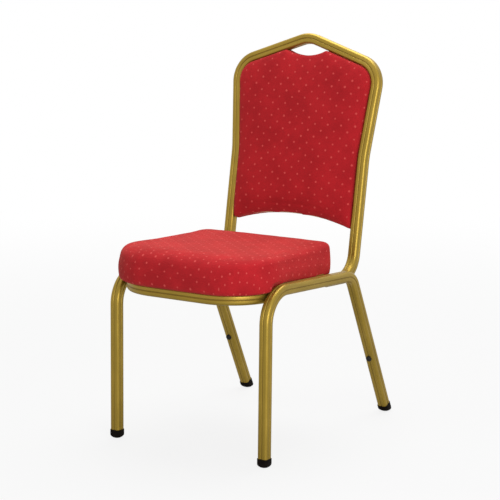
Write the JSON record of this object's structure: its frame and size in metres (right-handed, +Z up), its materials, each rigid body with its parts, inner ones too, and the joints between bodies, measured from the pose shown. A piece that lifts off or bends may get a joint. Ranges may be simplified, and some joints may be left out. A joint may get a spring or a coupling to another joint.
{
  "type": "stacking chair",
  "caption": "Stacking banquet chair: bent square-tube frame in a gold finish, thick red padded seat and a padded crown back with a hand-hold at the top.",
  "frame": {"origin": "on the floor, under the middle of the chair's bounding box", "axes": "+Z up, the sitter faces -Y, +X is the sitter's left"},
  "size_m": [0.44, 0.6264, 0.925],
  "materials": {
    "gold_metal": "gold-coloured satin coating",
    "bare_aluminium": "mill finish",
    "black_plastic": "satin black",
    "black_rubber": "matt black",
    "zinc_steel": "zinc plated",
    "plywood": "sanded",
    "foam": "open-cell polyurethane foam",
    "red_fabric": "woven red upholstery with a staggered pattern of small pale dots",
    "black_cloth": "non-woven cloth"
  },
  "bodies": {
    "root": {"side_frame_left": "gold_metal", "side_frame_right": "gold_metal", "back_tube_left": "gold_metal", "back_tube_right": "gold_metal", "hoop_end_caps": "gold_metal", "front_cross_rail": "gold_metal", "rear_cross_rail": "gold_metal", "seat_brackets": "gold_metal", "back_tabs": "gold_metal", "peak_sleeve": "bare_aluminium", "front_foot_left": "black_plastic", "front_foot_right": "black_plastic", "rear_foot_left": "black_plastic", "rear_foot_right": "black_plastic", "stacking_bumper_left": "black_rubber", "stacking_bumper_right": "black_rubber", "seat_bolts": "zinc_steel", "seat_washers": "zinc_steel", "seat_tee_nuts": "zinc_steel", "back_screws": "zinc_steel", "back_tee_nuts": "zinc_steel", "seat_staples": "zinc_steel", "seat_board": "plywood", "back_board": "plywood", "back_rear_panel": "plywood", "seat_foam": "foam", "back_foam": "foam", "seat_cover": "red_fabric", "back_cover": "red_fabric", "back_rear_cover": "red_fabric", "seat_dust_cloth": "black_cloth"}
  },
  "joints": []
}
